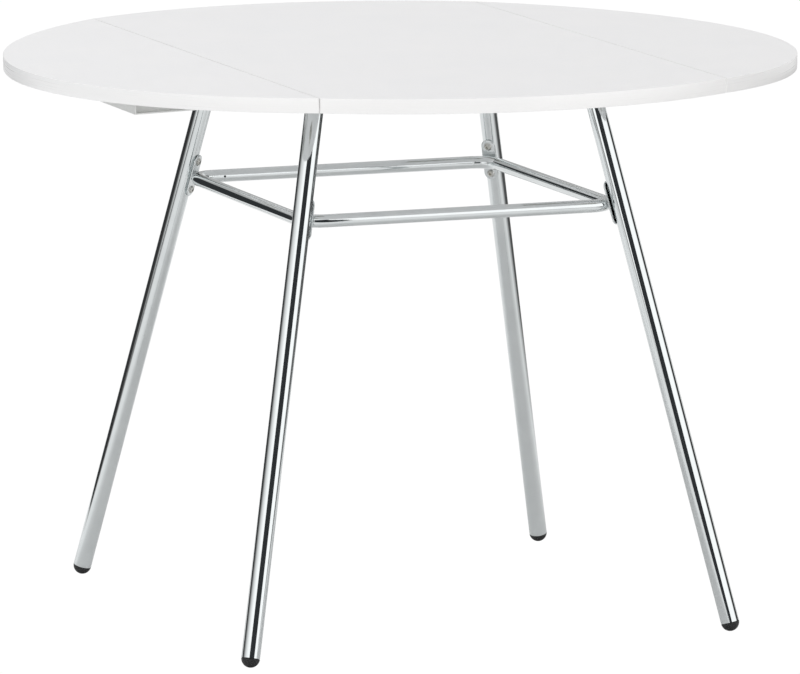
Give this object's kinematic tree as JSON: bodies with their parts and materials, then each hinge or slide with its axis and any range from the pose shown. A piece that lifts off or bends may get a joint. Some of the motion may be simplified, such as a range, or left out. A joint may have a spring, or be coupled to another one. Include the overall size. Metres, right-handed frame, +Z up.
{
  "type": "drop-leaf dining table",
  "caption": "Round white drop-leaf table: fixed centre panel with folding D-shaped leaves on splayed chrome tube legs tied by a square stretcher ring.",
  "frame": {"origin": "on the floor under the middle of the round top", "axes": "+Z up; X across the two seams, Y along them, front is -Y"},
  "size_m": [1.0409, 1.0398, 0.74],
  "materials": {
    "melamine": "melamine-faced board, satin white",
    "edge_band": "white edge band, satin",
    "chrome": "bright chrome plate on steel tube",
    "plate_chrome": "bright chrome plate on pressed steel",
    "screw": "zinc-plated steel",
    "zinc": "zinc-plated steel",
    "support_paint": "grey enamel",
    "foot": "black moulded plastic",
    "nylon": "natural nylon"
  },
  "bodies": {
    "base": {"centre_panel": "melamine", "centre_band_front": "edge_band", "centre_band_back": "edge_band", "centre_band_left": "edge_band", "centre_band_right": "edge_band", "hinge_plates_centre": "zinc", "hinge_pins": "zinc", "hinge_screws_centre": "screw", "leg_front_left": "chrome", "leg_front_right": "chrome", "leg_back_left": "chrome", "leg_back_right": "chrome", "leg_plate_front_left": "zinc", "leg_plate_front_right": "zinc", "leg_plate_back_left": "zinc", "leg_plate_back_right": "zinc", "leg_plate_screws": "screw", "foot_front_left": "foot", "foot_front_right": "foot", "foot_back_left": "foot", "foot_back_right": "foot", "stretcher_ring": "chrome", "ring_plate_front_left": "plate_chrome", "ring_plate_front_right": "plate_chrome", "ring_plate_back_left": "plate_chrome", "ring_plate_back_right": "plate_chrome", "ring_screws": "screw", "support_brackets": "support_paint", "support_bracket_screws": "screw", "support_rivets": "zinc"},
    "leaf_left": {"leaf_left": "melamine", "leaf_left_band": "edge_band", "leaf_left_seam_band": "edge_band", "hinge_plates_left": "zinc", "hinge_screws_left": "screw"},
    "leaf_right": {"leaf_right": "melamine", "leaf_right_band": "edge_band", "leaf_right_seam_band": "edge_band", "hinge_plates_right": "zinc", "hinge_screws_right": "screw"},
    "support_left": {"support_left_front_rail": "support_paint", "support_left_back_rail": "support_paint", "support_left_end": "support_paint", "support_left_buffers": "nylon"},
    "support_right": {"support_right_front_rail": "support_paint", "support_right_back_rail": "support_paint", "support_right_end": "support_paint", "support_right_buffers": "nylon"}
  },
  "joints": [
    {"name": "leaf_left_hinge", "type": "hinge", "parent": "base", "child": "leaf_left", "pos_m": [-0.2755, 0, 0.7166], "axis": [0, -1, 0], "range_deg": [-1.5, 88.5]},
    {"name": "leaf_right_hinge", "type": "hinge", "parent": "base", "child": "leaf_right", "pos_m": [0.2755, 0, 0.7166], "axis": [0, 1, 0], "range_deg": [-1.1, 88.9]},
    {"name": "support_left_pivot", "type": "hinge", "parent": "base", "child": "support_left", "pos_m": [-0.2555, 0, 0.706], "axis": [0, -1, 0], "range_deg": [-1.5, 88.5]},
    {"name": "support_right_pivot", "type": "hinge", "parent": "base", "child": "support_right", "pos_m": [0.2555, 0, 0.706], "axis": [0, 1, 0], "range_deg": [-1.1, 88.9]}
  ],
  "couplings": [
    {"joint": "support_left_pivot", "follows": "leaf_left_hinge", "ratio": 1},
    {"joint": "support_right_pivot", "follows": "leaf_right_hinge", "ratio": 1}
  ]
}
